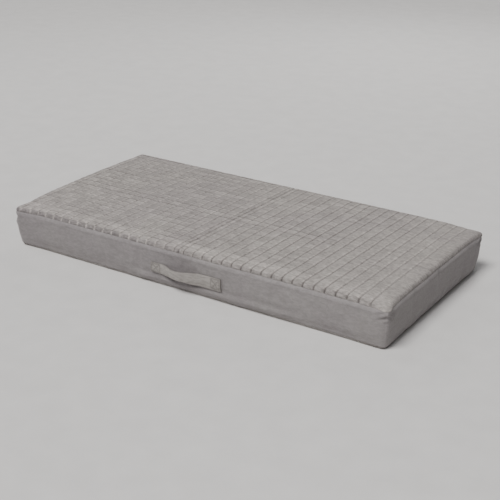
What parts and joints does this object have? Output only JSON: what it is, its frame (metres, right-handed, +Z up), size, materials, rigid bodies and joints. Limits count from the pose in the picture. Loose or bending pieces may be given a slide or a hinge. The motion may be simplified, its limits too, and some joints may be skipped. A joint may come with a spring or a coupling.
{
  "type": "seat cushion",
  "caption": "Long, low foam seat cushion in a zipped suede-like cover with a quilted top and a carrying strap on its front edge.",
  "frame": {"origin": "on the resting plane, under the middle of the cushion's length and depth", "axes": "+X along the length, to the right of someone facing the strap; +Y to the rear, where the zip is; +Z up, out of the quilted top"},
  "size_m": [1, 0.5116, 0.102],
  "materials": {
    "cover_suede": "matte",
    "lining_cloth": "matte",
    "wadding": "matte",
    "foam": "matte",
    "thread": "matte",
    "zip_tape": "matte",
    "zip_coil": "satin",
    "zip_metal": "satin",
    "label_cloth": "matte"
  },
  "bodies": {
    "cover": {"foam_core": "foam", "quilt_face_fabric": "cover_suede", "quilt_wadding": "wadding", "quilt_backing_cloth": "lining_cloth", "front_panel": "cover_suede", "left_panel": "cover_suede", "right_panel": "cover_suede", "rear_lower_panel": "cover_suede", "rear_upper_panel": "cover_suede", "base_panel": "cover_suede", "zip_upper_tape": "zip_tape", "zip_lower_tape": "zip_tape", "zip_upper_coil": "zip_coil", "zip_lower_coil": "zip_coil", "zip_upper_top_stop": "zip_metal", "zip_lower_top_stop": "zip_metal", "zip_bottom_stop": "zip_metal", "zip_left_end_tab": "cover_suede", "zip_right_end_tab": "cover_suede", "handle_left_sewn_end": "cover_suede", "handle_right_sewn_end": "cover_suede", "handle_left_box_stitch": "thread", "handle_right_box_stitch": "thread", "handle_left_inner_patch": "lining_cloth", "handle_right_inner_patch": "lining_cloth"},
    "zip_slider": {"zip_slider_body": "zip_metal", "zip_slider_bail": "zip_metal"},
    "zip_pull": {"zip_pull_tab": "zip_metal"},
    "handle": {"handle_free_span": "cover_suede"},
    "label": {"care_label": "label_cloth"}
  },
  "joints": [
    {"name": "zip_slide", "type": "slide", "parent": "cover", "child": "zip_slider", "axis": [-1, 0, 0], "range_m": [0, 0.875]},
    {"name": "pull_flip", "type": "hinge", "parent": "zip_slider", "child": "zip_pull", "pos_m": [0.437, 0.2484, 0.05], "axis": [0, 0, 1], "range_deg": [0, 175]},
    {"name": "handle_lift", "type": "hinge", "parent": "cover", "child": "handle", "pos_m": [0, -0.2453, 0.06], "axis": [-1, 0, 0], "range_deg": [0, 90]},
    {"name": "label_lift", "type": "hinge", "parent": "cover", "child": "label", "pos_m": [-0.41, 0.24555, 0.0907], "axis": [1, 0, 0], "range_deg": [0, 120]}
  ]
}
